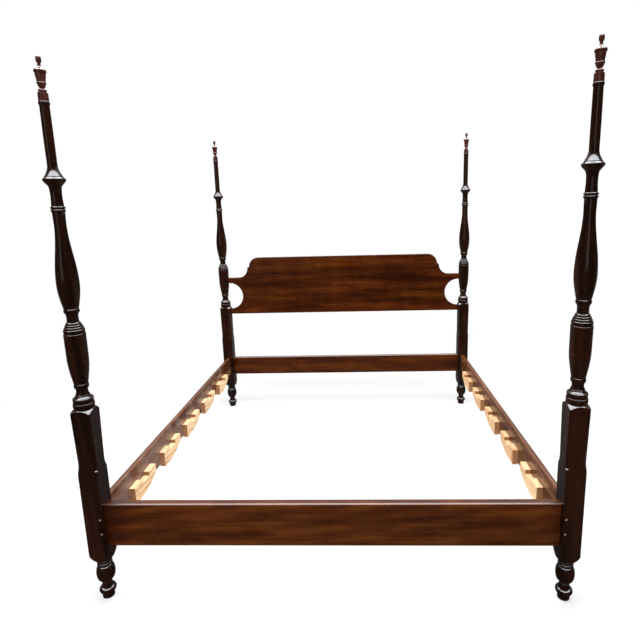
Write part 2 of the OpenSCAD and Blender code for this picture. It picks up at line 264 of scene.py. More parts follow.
def bell(start, startRadius, end, endRadius, count):
    return curveBetween(start, startRadius, end, endRadius, count,
                        lambda t: 1 - math.cos(math.pi / 2 * t))


def band(low, high, radius, ease):
    curve = []
    for i in range(4):
        angle = math.pi / 2 * i / 3
        curve.append((radius - ease * (1 - math.sin(angle)), low + ease * (1 - math.cos(angle))))
    return curve + [(r, low + high - z) for r, z in reversed(curve)]


# tools for shader nodes

def addNode(tree, kind, x, y, **settings):
    node = tree.nodes.new(kind)
    node.location = (x, y)
    for name, value in settings.items():
        setattr(node, name, value)
    return node


def feed(tree, socket, value):  # value is a plain value or another node's output
    if isinstance(value, bpy.types.NodeSocket):
        tree.links.new(value, socket)
    else:
        socket.default_value = value


def setInputs(tree, node, **values):  # underscores in a name stand for spaces
    for name, value in values.items():
        feed(tree, node.inputs[name.replace("_", " ")], value)
    return node


def mathNode(tree, operation, x, y, first, second=0.0):
    node = addNode(tree, "ShaderNodeMath", x, y, operation=operation)
    feed(tree, node.inputs[0], first)
    feed(tree, node.inputs[1], second)
    return node.outputs[0]


def vectorNode(tree, operation, x, y, first, second=None):
    node = addNode(tree, "ShaderNodeVectorMath", x, y, operation=operation)
    feed(tree, node.inputs[0], first)
    if second is not None:
        feed(tree, node.inputs["Scale" if operation == "SCALE" else 1], second)
    return node.outputs["Value" if operation in ("LENGTH", "DISTANCE") else "Vector"]


def swingNode(tree, x, y, value, share):  # how far a noise is from its middle, times share
    offMiddle = mathNode(tree, "SUBTRACT", x, y, value, 0.5)
    return mathNode(tree, "MULTIPLY", x + 160, y, offMiddle, share)


def rangeNode(tree, x, y, value, low, high, toLow=0.0, toHigh=1.0):
    node = addNode(tree, "ShaderNodeMapRange", x, y, interpolation_type="SMOOTHSTEP")
    setInputs(tree, node, Value=value, From_Min=low, From_Max=high, To_Min=toLow, To_Max=toHigh)
    return node.outputs[0]


def splitNode(tree, x, y, vector):  # its X, Y and Z
    node = addNode(tree, "ShaderNodeSeparateXYZ", x, y)
    feed(tree, node.inputs[0], vector)
    return list(node.outputs)


def mappingNode(tree, x, y, vector, **values):
    node = addNode(tree, "ShaderNodeMapping", x, y)
    return setInputs(tree, node, Vector=vector, **values).outputs[0]


def noiseOn(tree, x, y, vector, scale, detail, roughness=0.55, output="Fac"):
    stretch = scale if isinstance(scale, tuple) else (scale, scale, scale)
    spot = mappingNode(tree, x - 200, y, vector, Scale=stretch)
    noise = addNode(tree, "ShaderNodeTexNoise", x, y)
    setInputs(tree, noise, Vector=spot, Scale=1.0, Detail=detail, Roughness=roughness)
    return noise.outputs[output]


def blendColors(tree, x, y, share, first, second, mode="MIX"):
    node = addNode(tree, "ShaderNodeMix", x, y, data_type="RGBA", blend_type=mode)
    for index, value in ((0, share), (6, first), (7, second)):  # the sockets of a colour mix
        feed(tree, node.inputs[index], value)
    return node.outputs[2]


def addGroup(tree, group, x, y, **values):
    node = addNode(tree, "ShaderNodeGroup", x, y, node_tree=group)
    return setInputs(tree, node, **values)


def newGroup(name, inputs, outputs):  # inputs with their usual values, outputs with their kinds
    group = bpy.data.node_groups.new(name, "ShaderNodeTree")
    for label, value in inputs.items():
        kind = "Float" if isinstance(value, float) else "Color" if len(value) == 4 else "Vector"
        socket = group.interface.new_socket(name=label, in_out="INPUT", socket_type="NodeSocket" + kind)
        socket.default_value = value
    for label, kind in outputs.items():
        group.interface.new_socket(name=label, in_out="OUTPUT", socket_type="NodeSocket" + kind)
    given = addNode(group, "NodeGroupInput", -1400, 0)
    made = addNode(group, "NodeGroupOutput", 1400, 0)
    return group, given.outputs, made


# finishes

grainPattern = {
    # noise scales along the grain and across it twice
    "broad": (1.1, 15, 15), "mottle": (9, 4, 4), "fibre": (3, 85, 85), "pore": (28, 420, 420),
    "waver": 2.2, "broadRange": (0.3, 0.7), "poreRange": (0.62, 0.72),
    "fibreShare": 1.3, "fibreHeight": 0.35,
    # growth rings are slightly tilted to the board, so that they show as long arches
    "ringTilt": (0, math.radians(3.5), math.radians(5)), "ringPlace": (0.0, 0.35, 0.21),
    "ringBend": 2.6, "ringBendScale": 0.9,
}


def buildGrain():  # wood grain that runs along X of its vector
    group, given, made = newGroup(
        "woodGrain",
        {"Vector": (0, 0, 0), "Dark": (0.05, 0.02, 0.01, 1), "Middle": (0.1, 0.04, 0.02, 1),
         "Light": (0.2, 0.08, 0.04, 1), "Rings": 14.0, "Figure": 0.3, "Pores": 0.5, "Waver": 0.03,
         "Mottle": 0.5},
        {"Color": "Color", "Pore": "Float", "Height": "Float"})
    vector = given["Vector"]
    # the grain wavers slowly from side to side
    slow = noiseOn(group, -1150, 250, vector, grainPattern["waver"], detail=2.0, roughness=0.5,
                   output="Color")
    bend = vectorNode(group, "SUBTRACT", -980, 250, slow, (0.5, 0.5, 0.5))
    bend = vectorNode(group, "SCALE", -820, 250, bend, given["Waver"])
    bent = vectorNode(group, "ADD", -680, 100, vector, bend)
    broad = noiseOn(group, -300, 500, bent, grainPattern["broad"], detail=4.0, roughness=0.6)
    mottle = noiseOn(group, -300, 750, bent, grainPattern["mottle"], detail=3.0, roughness=0.6)
    fibre = noiseOn(group, -300, 250, bent, grainPattern["fibre"], detail=5.0, roughness=0.6)
    pore = noiseOn(group, -300, -350, bent, grainPattern["pore"], detail=2.0, roughness=0.5)
    tilted = mappingNode(group, -500, 0, bent, Rotation=grainPattern["ringTilt"],
                         Location=grainPattern["ringPlace"])
    rings = addNode(group, "ShaderNodeTexWave", -300, 0, wave_type="RINGS", rings_direction="X",
                    wave_profile="SIN")
    setInputs(group, rings, Vector=tilted, Scale=given["Rings"], Distortion=grainPattern["ringBend"],
              Detail=2.0, Detail_Scale=grainPattern["ringBendScale"], Detail_Roughness=0.5)
    ringPart = swingNode(group, -100, 0, rings.outputs["Fac"], given["Figure"])
    broadPart = rangeNode(group, -100, 500, broad, *grainPattern["broadRange"])
    fibrePart = swingNode(group, -100, 250, fibre, grainPattern["fibreShare"])
    mottlePart = swingNode(group, -100, 750, mottle, given["Mottle"])
    depth = mathNode(group, "ADD", 220, 300, broadPart, fibrePart)
    depth = mathNode(group, "ADD", 300, 400, depth, mottlePart)
    depth = mathNode(group, "ADD", 380, 200, depth, ringPart)
    clamped = addNode(group, "ShaderNodeClamp", 520, 200)
    feed(group, clamped.inputs[0], depth)
    depth = clamped.outputs[0]
    lowHalf = rangeNode(group, 680, 350, depth, 0.0, 0.5)
    highHalf = rangeNode(group, 680, 100, depth, 0.5, 1.0)
    color = blendColors(group, 860, 350, lowHalf, given["Dark"], given["Middle"])
    color = blendColors(group, 1020, 250, highHalf, color, given["Light"])
    poreMask = rangeNode(group, -100, -350, pore, *grainPattern["poreRange"])
    poreMask = mathNode(group, "MULTIPLY", 60, -350, poreMask, given["Pores"])
    color = blendColors(group, 1180, 200, poreMask, color, given["Dark"])
    height = mathNode(group, "MULTIPLY", 220, -200, fibre, grainPattern["fibreHeight"])
    height = mathNode(group, "SUBTRACT", 380, -250, height, poreMask)
    setInputs(group, made, Color=color, Pore=poreMask, Height=height)
    return group


patchPattern = {"raggedScale": 9.0, "edge": (1.0, 0.35)}  # the edge is a range of its size


def buildPatch():  # a soft-edged patch at a place, of a size, for stains, painted shade and a painted sheen
    group, given, made = newGroup(
        "softPatch", {"Vector": (0, 0, 0), "Place": (0, 0, 0), "Size": (1, 1, 1), "Ragged": 0.3},
        {"Mask": "Float"})
    away = vectorNode(group, "SUBTRACT", -900, 0, given["Vector"], given["Place"])
    sized = vectorNode(group, "DIVIDE", -700, 0, away, given["Size"])
    distance = vectorNode(group, "LENGTH", -500, 0, sized)
    ragged = noiseOn(group, -700, -250, given["Vector"], patchPattern["raggedScale"], detail=4.0,
                     roughness=0.5)
    edge = swingNode(group, -500, -250, ragged, given["Ragged"])
    distance = mathNode(group, "ADD", -200, 0, distance, edge)
    setInputs(group, made, Mask=rangeNode(group, 0, 0, distance, *patchPattern["edge"]))
    return group


filmPattern = {"cloudScale": 7.0, "rippleScale": 55.0, "poreDull": 0.15}


def buildFilm():  # what hands, cloths and age leave on varnish: soft dull clouds and fine ripples
    group, given, made = newGroup(
        "varnishFilm",
        {"Vector": (0, 0, 0), "Roughness": 0.2, "Cloudy": 0.08, "Pore": 0.0, "Height": 0.0,
         "Ripple": 0.2},
        {"Roughness": "Float", "Height": "Float"})
    clouds = noiseOn(group, -500, 200, given["Vector"], filmPattern["cloudScale"], detail=3.0)
    cloudPart = swingNode(group, -300, 200, clouds, given["Cloudy"])
    rough = mathNode(group, "ADD", 0, 200, given["Roughness"], cloudPart)
    porePart = mathNode(group, "MULTIPLY", 0, 50, given["Pore"], filmPattern["poreDull"])
    rough = mathNode(group, "ADD", 150, 200, rough, porePart)
    ripple = noiseOn(group, -500, -200, given["Vector"], filmPattern["rippleScale"], detail=2.0)
    ripple = mathNode(group, "MULTIPLY", -150, -200, ripple, given["Ripple"])
    height = mathNode(group, "ADD", 150, -200, given["Height"], ripple)
    setInputs(group, made, Roughness=rough, Height=height)
    return group


grainGroup = buildGrain()
patchGroup = buildPatch()
filmGroup = buildFilm()
grainTurns = {"X": (0, 0, 0), "Y": (0, 0, math.radians(-90)), "Z": (0, math.radians(90), 0)}
bumpDistance = {"wood": 0.0004, "steel": 0.0002}  # metres


def tone(red, green, blue):  # a display colour from 0 to 255, as the linear colour nodes take
    linear = []
    for value in (red, green, blue):
        share = value / 255
        linear.append(share / 12.92 if share <= 0.04045 else ((share + 0.055) / 1.055) ** 2.4)
    return tuple(linear) + (1,)


def darker(color, share=0.72):
    return tuple(share * part for part in color[:3]) + (1,)


def startMaterial(name, **shaderValues):
    material = bpy.data.materials.new(name)
    material.use_nodes = True
    tree = material.node_tree
    tree.nodes.clear()
    out = addNode(tree, "ShaderNodeOutputMaterial", 1400, 0)
    shader = addNode(tree, "ShaderNodeBsdfPrincipled", 1100, 0)
    setInputs(tree, shader, **shaderValues)
    setInputs(tree, out, Surface=shader.outputs[0])
    place = addNode(tree, "ShaderNodeTexCoord", -1000, 0)
    return material, tree, shader, place.outputs


def finishShader(tree, shader, color, rough, height, bumpStrength, bumpDepth):
    bump = addNode(tree, "ShaderNodeBump", 800, -400)
    setInputs(tree, bump, Strength=bumpStrength, Distance=bumpDepth, Height=height)
    setInputs(tree, shader, Base_Color=color, Roughness=rough, Normal=bump.outputs[0])


def makeWood(name, finish):
    material, tree, shader, place = startMaterial(name, IOR=1.5, Specular_IOR_Level=finish["gloss"])
    spot = place["Object"]
    turned = mappingNode(tree, -800, 0, spot, Rotation=grainTurns[finish["along"]])
    grain = addGroup(tree, grainGroup, -600, 0, Vector=turned, Dark=finish["dark"],
                     Middle=finish["middle"], Light=finish["light"], Rings=finish["rings"],
                     Figure=finish["figure"], Pores=finish["pores"], Waver=finish["waver"],
                     Mottle=finish["mottle"])
    color = grain.outputs["Color"]
    x = -350
    for patchPlace, size, tint, strength, ragged, mode in finish.get("patches", ()):
        patch = addGroup(tree, patchGroup, x, -350, Vector=spot, Place=patchPlace, Size=size,
                         Ragged=ragged)
        share = mathNode(tree, "MULTIPLY", x + 60, -150, patch.outputs["Mask"], strength)
        color = blendColors(tree, x + 120, 150, share, color, tint, mode)
        x += 180
    if "ends" in finish:  # sawn ends, where the grain is cut across
        axis, tint, low, high, speckleScale = finish["ends"]
        facing = splitNode(tree, x, 400, place["Normal"])["XYZ".index(axis)]
        across = mathNode(tree, "ABSOLUTE", x + 60, 400, facing)
        share = rangeNode(tree, x + 120, 400, across, low, high)
        speckle = noiseOn(tree, x + 100, 650, spot, speckleScale, detail=4.0)
        ends = blendColors(tree, x + 200, 500, speckle, darker(tint), tint)
        color = blendColors(tree, x + 300, 300, share, color, ends)
    film = addGroup(tree, filmGroup, 500, -300, Vector=spot, Roughness=finish["roughness"],
                    Cloudy=finish["cloudy"], Ripple=finish["ripple"], Pore=grain.outputs["Pore"],
                    Height=grain.outputs["Height"])
    finishShader(tree, shader, color, film.outputs["Roughness"], film.outputs["Height"],
                 finish["bump"], bumpDistance["wood"])
    return material


def makeSteel(name, finish):
    material, tree, shader, place = startMaterial(name, Metallic=1.0)
    lines = noiseOn(tree, -400, 0, place["Object"], finish["lineScale"], detail=3.0)
    spots = noiseOn(tree, -400, -300, place["Object"], finish["spotScale"], detail=4.0)
    dull = rangeNode(tree, -200, -100, spots, *finish["dullRange"])
    color = blendColors(tree, 0, 0, dull, darker(finish["color"]), finish["color"])
    brushed = mathNode(tree, "MULTIPLY", -200, -500, lines, finish["brush"])
    rough = mathNode(tree, "ADD", 0, -400, brushed, finish["roughness"] - finish["brush"] / 2)
    finishShader(tree, shader, color, rough, lines, finish["bump"], bumpDistance["steel"])
    return material


# patches are place, size, tint, strength, raggedness and how they blend
postFinish = {
    "along": "Z", "dark": tone(19, 7, 3), "middle": tone(29, 12, 5), "light": tone(39, 18, 8),
    "rings": 9.0, "figure": 0.35, "pores": 0.5, "waver": 0.02, "mottle": 0.5, "gloss": 0.5,
    "roughness": 0.12, "cloudy": 0.05, "ripple": 0.04, "bump": 0.03,
}
finialFinish = {
    "along": "Z", "dark": tone(40, 16, 10), "middle": tone(58, 26, 18), "light": tone(72, 36, 26),
    "rings": 12.0, "figure": 0.35, "pores": 0.4, "waver": 0.01, "mottle": 0.5, "gloss": 0.6,
    "roughness": 0.2, "cloudy": 0.06, "ripple": 0.05, "bump": 0.04,
}
crossRailFinish = {
    "along": "X", "dark": tone(53, 20, 2), "middle": tone(68, 29, 3), "light": tone(84, 41, 7),
    "rings": 7.0, "figure": 0.4, "pores": 0.5, "waver": 0.03, "mottle": 0.8, "gloss": 0.36,
    "roughness": 0.2, "cloudy": 0.06, "ripple": 0.2, "bump": 0.15,
    "patches": [
        # painted shade: the foot rail darkened at both ends, where it meets the posts
        ((-1.0, -1.065, 0.35), (0.16, 0.3, 0.4), (0.62, 0.55, 0.5, 1), 0.9, 0.2, "MULTIPLY"),
        ((1.0, -1.065, 0.35), (0.14, 0.3, 0.4), (0.7, 0.65, 0.6, 1), 0.9, 0.2, "MULTIPLY"),
        # painted shade: the head rail made darker than the foot rail of the same wood
        ((0.0, 1.065, 0.37), (2.4, 0.6, 0.6), (0.8, 0.72, 0.4, 1), 1.0, 0.1, "MULTIPLY"),
    ],
}
sideRailFinish = {
    "along": "Y", "dark": tone(68, 37, 17), "middle": tone(92, 54, 32), "light": tone(114, 72, 48),
    "rings": 7.0, "figure": 0.4, "pores": 0.5, "waver": 0.03, "mottle": 0.5, "gloss": 0.4,
    "roughness": 0.22, "cloudy": 0.06, "ripple": 0.2, "bump": 0.15,
    "patches": [  # painted sheen: a grey reflection painted on the inner face of the left rail
        ((-0.985, -0.35, 0.36), (0.02, 1.3, 0.11), tone(132, 112, 104), 0.6, 2.4, "MIX"),
    ],
}
boardFinish = {
    "along": "X", "dark": tone(42, 13, 1), "middle": tone(56, 21, 2), "light": tone(72, 33, 5),
    "rings": 5.0, "figure": 0.4, "pores": 0.5, "waver": 0.03, "mottle": 1.1, "gloss": 0.36,
    "roughness": 0.2, "cloudy": 0.06, "ripple": 0.2, "bump": 0.14,
    "patches": [
        ((-0.6, 1.05, 1.08), (0.34, 0.3, 0.12), (0.72, 0.66, 0.9, 1), 0.8, 0.5, "MULTIPLY"),
        ((0.5, 1.05, 1.1), (0.3, 0.3, 0.14), (0.7, 0.66, 0.9, 1), 0.8, 0.5, "MULTIPLY"),
        ((-0.5, 1.05, 1.26), (0.6, 0.3, 0.12), (1.25, 1.45, 1.4, 1), 0.7, 0.4, "MULTIPLY"),
        ((0.0, 1.05, 0.84), (1.3, 0.3, 0.09), (1.18, 0.98, 0.7, 1), 0.7, 0.4, "MULTIPLY"),
    ],
}
pineFinish = {
    "along": "Y", "dark": tone(206, 160, 118), "middle": tone(226, 186, 144), "light": tone(238, 206, 166),
    "rings": 26.0, "figure": 0.8, "pores": 0.3, "waver": 0.03, "mottle": 0.5, "gloss": 0.1,
    "roughness": 0.62, "cloudy": 0.1, "ripple": 0.1, "bump": 0.3,
    # the axis that sawn ends face, their tint, the range of facing, the scale of their speckle
    "ends": ("Y", tone(168, 122, 84), 0.75, 0.95, (60, 60, 160)),
    "patches": [((0.973, -0.475, 0.33), (0.06, 0.04, 0.08), (0.62, 0.4, 0.3, 1), 0.9, 0.2, "MULTIPLY")],
}
pegFinish = {
    "along": "Y", "dark": tone(112, 84, 64), "middle": tone(140, 112, 92), "light": tone(160, 132, 112),
    "rings": 40.0, "figure": 0.4, "pores": 0.3, "waver": 0.004, "mottle": 0.5, "gloss": 0.4,
    "roughness": 0.45, "cloudy": 0.05, "ripple": 0.1, "bump": 0.2,
}
steelFinish = {
    "color": tone(176, 177, 182), "roughness": 0.34, "brush": 0.18, "bump": 0.15,
    "lineScale": (300, 300, 18), "spotScale": 90.0, "dullRange": (0.35, 0.65),
}

postWood = makeWood("postVarnish", postFinish)
finialWood = makeWood("finialVarnish", finialFinish)
crossRailWood = makeWood("crossRailVarnish", crossRailFinish)
sideRailWood = makeWood("sideRailVarnish", sideRailFinish)
boardWood = makeWood("headboardVarnish", boardFinish)
pineWood = makeWood("sawnPine", pineFinish)
pegWood = makeWood("pegEndGrain", pegFinish)
zincSteel = makeSteel("zincSteel", steelFinish)
print("finishes ready")

studio = {
    "fill": 0.22,  # world light on the object
    # what gloss sees in each direction, as strengths, and the ranges over which they set in
    "frontGloss": 0.03,  # the dim side behind the camera
    "backGloss": 0.9, "backRange": (-0.25, 0.6), "horizonRange": (0.15, 0.5),  # the far side
    "topGloss": 16.0, "topRange": (0.66, 0.8),  # the bright ceiling
    # a pale window in front: the direction it lies in, seen from above, and its soft edge
    "windowGloss": 0.75, "windowPlace": (-0.28, -0.93), "windowRange": (0.075, 0.3),
    "glossTint": (0.93, 0.96, 1.0, 1),  # slightly blue, like daylight
    "floorGloss": 0.15, "floorRange": (-1.1, 0.4),  # metres, from the front to the back
    "floorSize": 60, "floorColor": (0.86, 0.86, 0.86, 1),
    "floorWhite": 0.62,  # share of the floor that is plain white, the rest takes shadows
    "shadowRange": (1.6, 3.4),  # metres from the middle, over which the shadows fade out
}


def seenRays(tree, x, y, rays):  # 1 for what the camera sees, straight or through glass
    return mathNode(tree, "MAXIMUM", x, y, rays["Is Camera Ray"], rays["Is Transmission Ray"])


def buildWorld():
    world = bpy.data.worlds.new("studioWorld")
    bpy.context.scene.world = world
    world.use_nodes = True
    tree = world.node_tree
    tree.nodes.clear()
    out = addNode(tree, "ShaderNodeOutputWorld", 900, 0)
    back = addNode(tree, "ShaderNodeBackground", 700, 0)
    rays = addNode(tree, "ShaderNodeLightPath", 0, 300).outputs
    place = addNode(tree, "ShaderNodeTexCoord", -400, -100)
    sideways, away, up = splitNode(tree, -200, -100, place.outputs["Generated"])
    dim = studio["frontGloss"]
    behind = rangeNode(tree, 0, -50, away, *studio["backRange"])
    raised = rangeNode(tree, 0, -300, up, *studio["horizonRange"], dim, studio["backGloss"])
    backPart = mathNode(tree, "MULTIPLY", 150, -150, behind, raised)
    topPart = rangeNode(tree, 0, -550, up, *studio["topRange"], dim, studio["topGloss"])
    plan = addNode(tree, "ShaderNodeCombineXYZ", -200, -750)
    setInputs(tree, plan, X=sideways, Y=away)
    aside = vectorNode(tree, "DISTANCE", 0, -750, plan.outputs[0], (*studio["windowPlace"], 0))
    windowPart = rangeNode(tree, 150, -750, aside, *studio["windowRange"], studio["windowGloss"], dim)
    gloss = mathNode(tree, "MAXIMUM", 300, -250, backPart, topPart)
    gloss = mathNode(tree, "MAXIMUM", 400, -350, gloss, windowPart)
    isGloss = rays["Is Glossy Ray"]
    seen = seenRays(tree, 200, 300, rays)
    glossPart = mathNode(tree, "MULTIPLY", 500, 100, isGloss, gloss)
    seenOrGloss = mathNode(tree, "MAXIMUM", 350, 300, seen, isGloss)
    rest = mathNode(tree, "SUBTRACT", 500, 300, 1.0, seenOrGloss)
    restPart = mathNode(tree, "MULTIPLY", 600, 300, rest, studio["fill"])
    total = mathNode(tree, "ADD", 650, 150, seen, glossPart)
    total = mathNode(tree, "ADD", 650, -150, total, restPart)
    tint = blendColors(tree, 550, -400, isGloss, (1, 1, 1, 1), studio["glossTint"])
    setInputs(tree, back, Color=tint, Strength=total)
    setInputs(tree, out, Surface=back.outputs[0])


def buildFloor():
    clearSelection()
    bpy.ops.mesh.primitive_plane_add(size=studio["floorSize"], location=(0, 0, 0))
    floor = bpy.context.object
    floor.name = "studioFloor"
    material = bpy.data.materials.new("floorWhite")
    material.use_nodes = True
    tree = material.node_tree
    tree.nodes.clear()
    out = addNode(tree, "ShaderNodeOutputMaterial", 800, 0)
    matt = addNode(tree, "ShaderNodeBsdfDiffuse", 200, -200)
    white = addNode(tree, "ShaderNodeEmission", 200, 0)
    rays = addNode(tree, "ShaderNodeLightPath", -400, 300).outputs
    spot = addNode(tree, "ShaderNodeTexCoord", -600, 0).outputs["Object"]
    away = splitNode(tree, -400, 0, spot)[1]
    gloss = rangeNode(tree, -200, 0, away, *studio["floorRange"], studio["frontGloss"],
                      studio["floorGloss"])
    isGloss = rays["Is Glossy Ray"]
    glossPart = mathNode(tree, "MULTIPLY", 0, 0, isGloss, gloss)
    notGloss = mathNode(tree, "SUBTRACT", 0, -150, 1.0, isGloss)
    strength = mathNode(tree, "ADD", 100, 0, glossPart, notGloss)
    setInputs(tree, matt, Color=studio["floorColor"])
    setInputs(tree, white, Strength=strength)
    outwards = vectorNode(tree, "LENGTH", -400, -250, spot)
    whiteShare = rangeNode(tree, -200, -250, outwards, *studio["shadowRange"], studio["floorWhite"], 1.0)
    seen = mathNode(tree, "MULTIPLY", 0, 300, seenRays(tree, -200, 300, rays), whiteShare)
    share = mathNode(tree, "MAXIMUM", 200, 300, seen, isGloss)
    mix = addNode(tree, "ShaderNodeMixShader", 500, 0)
    for socket, value in zip(mix.inputs, (share, matt.outputs[0], white.outputs[0])):
        feed(tree, socket, value)
    setInputs(tree, out, Surface=mix.outputs[0])
    floor.data.materials.append(material)


lamps = {  # place, aim, size across, size along, power
    "overhead": ((0.0, -0.4, 4.6), (0.0, 0.0, 0.0), 3.4, 2.4, 300),
    "leftSide": ((-4.2, -3.0, 3.0), (0.0, 0.0, 0.8), 1.6, 2.4, 85),
    "rightSide": ((4.2, -3.4, 3.0), (0.0, 0.0, 0.8), 1.6, 2.4, 75),
    "front": ((0.3, -5.2, 3.6), (0.0, 0.0, 0.9), 2.4, 1.4, 70),
    "rear": ((0.0, 4.8, 3.8), (0.0, 0.0, 0.9), 3.0, 1.6, 70),
}


def buildLamps():
    for name, (place, aim, across, along, power) in lamps.items():
        data = bpy.data.lights.new(name, "AREA")
        data.shape = "RECTANGLE"
        data.size = across
        data.size_y = along
        data.energy = power
        lamp = bpy.data.objects.new(name, data)
        bpy.context.scene.collection.objects.link(lamp)
        lamp.location = place
        lamp.visible_glossy = False  # gloss sees the bright ceiling instead
        lamp.rotation_euler = (Vector(aim) - Vector(place)).to_track_quat("-Z", "Y").to_euler()


buildWorld()
buildFloor()
buildLamps()
print("studio ready")

bed = {"halfX": 1.0, "halfY": 1.065}  # metres, from the middle to the posts' centres
corners = {"foot_left": ("FootLeft", -1, -1), "foot_right": ("FootRight", 1, -1),
           "head_left": ("HeadLeft", -1, 1), "head_right": ("HeadRight", 1, 1)}

post = {  # millimetres
    "width": 82, "latheSteps": 72,
    "squareLow": 181, "shoulder": 866, "pommel": 896, "top": 2086,  # heights, from the foot up
    "cornerRound": 1.4, "lowRadius": 28.5, "lowEnd": 240,  # the square part's lower end
    "chamfer": 13.5, "chamferTop": 3.5,  # widths of the chamfers, low down and at the top
    "chamferLow": 592, "chamferStop": 64, "chamferStep": 2.6, "stopSteps": 7,  # their lower ends
    "boreRadius": 5.08, "boreDepth": 39, "boreEase": 0.5,  # for the finial's pin
}

# low end, high end, radius between the beads and radius of the bead
stackBeads = ((1215.5, 1225, 36.6, 40), (1225.5, 1234.6, 33, 36.4),
              (1235.1, 1244, 28.8, 32.4), (1244.5, 1253, 24, 27.8))

# the turned shoulder over the square part: how far out from the flats, how high
shoulderCurve = ((18.9, 0), (16.9, 1), (16.2, 5), (14, 10.5), (10, 15.5), (5, 19), (0.6, 22),
                 (-1.9, 23.8), (-2.6, 30))


def postProfile():
    foot = [(0, 0), (21, 0), (22, 0.5), (24.5, 2.5), (26, 26)]
    foot += bead(27, 53, 24, 35, 16)
    foot += sShape(54, 23.5, 72, 20.5, 8) + sShape(72, 20.5, 88, 25, 8)[1:-1]
    foot += bead(88, 160, 25, 38.5, 24) + bead(163, 175, 25, 31.5, 10)
    foot += [(27, 176), (27.8, post["squareLow"] - 0.1)]
    core = [(24, post["squareLow"] + 8), (24, post["pommel"] - 16)]  # inside the square part
    collars = [(38.2, post["pommel"])] + band(post["pommel"] + 1, 915, 41, 1.6)
    collars += [(38.8, 916), (38.4, 920), (38.7, 925)] + bead(925.5, 937, 36.5, 39.6, 10)
    collars += [(34.6, 937.4)] + swell(938, 34.6, 949, 27.2, 6) + sShape(949.5, 26.6, 962, 22.6, 8)
    neck = [(22.4, 968), (22.8, 974), (24.4, 978)] + bead(979, 997, 25, 28.5)
    vase = swell(998, 26.8, 1115, 40.2, 16) + [(40.6, 1195)]
    stack = band(1197, 1207, 40.8, 1.6)[3:] + [(38.9, 1208), (38.7, 1212), (38.9, 1215)]
    for low, high, between, radius in stackBeads:
        stack += bead(low, high, between, radius, 8)
    stack += [(22.6, 1254), (21.8, 1262), (21.7, 1278), (22.6, 1284), (24.4, 1289)]
    stack += bead(1291, 1309, 25, 29)
    bulb = swell(1310, 27.5, 1408, 41, 14) + sShape(1408, 41, 1640, 21.4, 24)[1:] + [(22.3, 1685)]
    bulb += bead(1685.5, 1695.5, 22, 25.8, 10) + bead(1696.5, 1706.5, 22, 25.8, 10)
    upper = sShape(1707.5, 21.6, 1745, 19.9, 8) + [(20.2, 1759), (20.9, 1768), (21.8, 1776)]
    upper += [(23.4, 1781.5), (26.4, 1786), (30, 1790), (33.6, 1794), (36.4, 1797.5), (38, 1800)]
    upper += bead(1800.5, 1809.5, 37.6, 39.9, 8) + [(36.6, 1811.4), (34.6, 1813.4), (32.6, 1814.4)]
    upper += [(32.2, 1815.6), (32, 1817)] + bell(1858, 17.4, 1817.6, 31.6, 14)[::-1]
    upper += [(17.6, 1950), (16.9, 2071)]
    upper += bead(2072, post["top"] - 1, 17, 19.4, 10) + [(17.6, post["top"])]
    radius, ease, bottom = post["boreRadius"], post["boreEase"], post["top"] - post["boreDepth"]
    bore = [(radius + ease, post["top"]), (radius, post["top"] - ease), (radius, bottom), (0, bottom)]
    return foot + core + collars + neck + vase + stack + bulb + upper + bore


def chamferOutline(tip):  # tip is how far out the corner is; a curve, a small step and a curve
    step, steps = post["chamferStep"], post["stopSteps"]
    curveDepth = (post["chamfer"] / math.sqrt(2) - step) / 2
    curveLength = (post["chamferStop"] - step) / 2
    below, above = [], []
    for i in range(steps + 1):
        turn = math.pi / 2 * i / steps
        height = post["chamferLow"] + curveLength * i / steps
        below.append((tip - curveDepth * (1 - math.cos(turn)), height))
        above.append((tip - curveDepth - step - curveDepth * math.sin(turn), height + curveLength + step))
    outer, end = tip + 12, post["pommel"] + 1  # clear of the wood
    narrow = tip - post["chamferTop"] / math.sqrt(2)
    return below + above + [(narrow, end), (outer, end), (outer, post["chamferLow"])]


def squarePart():
    half = post["width"] / 2
    tip = half * math.sqrt(2)
    low, high = post["squareLow"], post["pommel"] - 0.05
    square = addBox("postSquare", (-half * mm, -half * mm, low * mm), (half * mm, half * mm, high * mm))
    roundEdges(square, post["cornerRound"] * mm, steps=2,
               test=lambda a, b: abs(a.x - b.x) < near and abs(a.y - b.y) < near)
    limit = [(0, low), (post["lowRadius"], low)]
    limit += swell(low + 2, post["lowRadius"] + 1, post["lowEnd"], tip + 2, 14)
    limit += [(half + out, post["shoulder"] + rise) for out, rise in shoulderCurve]
    limit.append((0, post["pommel"]))
    combine(square, turnOnLathe("squareLimit", limit, post["latheSteps"]), "INTERSECT")
    for turn in range(4):
        angle = math.radians(45 + 90 * turn)
        away = Vector((math.cos(angle), math.sin(angle), 0)) * mm
        side = Vector((-math.sin(angle), math.cos(angle), 0)) * post["chamfer"] * mm
        points = [away * out + Vector((0, 0, height * mm)) - side for out, height in chamferOutline(tip)]
        combine(square, sawOut("chamferCutter", points, side * 2), "DIFFERENCE")
    return square


def squareFlat(centre, normal):  # the sides of the square part and its chamfers
    if not post["squareLow"] * mm < centre.z < post["shoulder"] * mm:
        return False
    diagonal = abs(abs(normal.x) - abs(normal.y)) < 0.02 and centre.z > post["chamferLow"] * mm
    return diagonal or max(abs(normal.x), abs(normal.y)) > 0.999


postModel = turnOnLathe("postModel", postProfile(), post["latheSteps"])
combine(postModel, squarePart(), "UNION")
weld(postModel)
smooth(postModel, flat=squareFlat)
for corner, (label, sideX, sideY) in corners.items():
    piece = copyTo(postModel, "post" + label, (sideX * bed["halfX"], sideY * bed["halfY"], 0))
    dress(piece, postWood, "post_wood", "bed_frame", "post_" + corner)
bpy.data.objects.remove(postModel, do_unlink=True)
print("posts turned")

finial = {"pinRadius": 5.03, "pinDepth": 35, "latheSteps": 56}  # millimetres


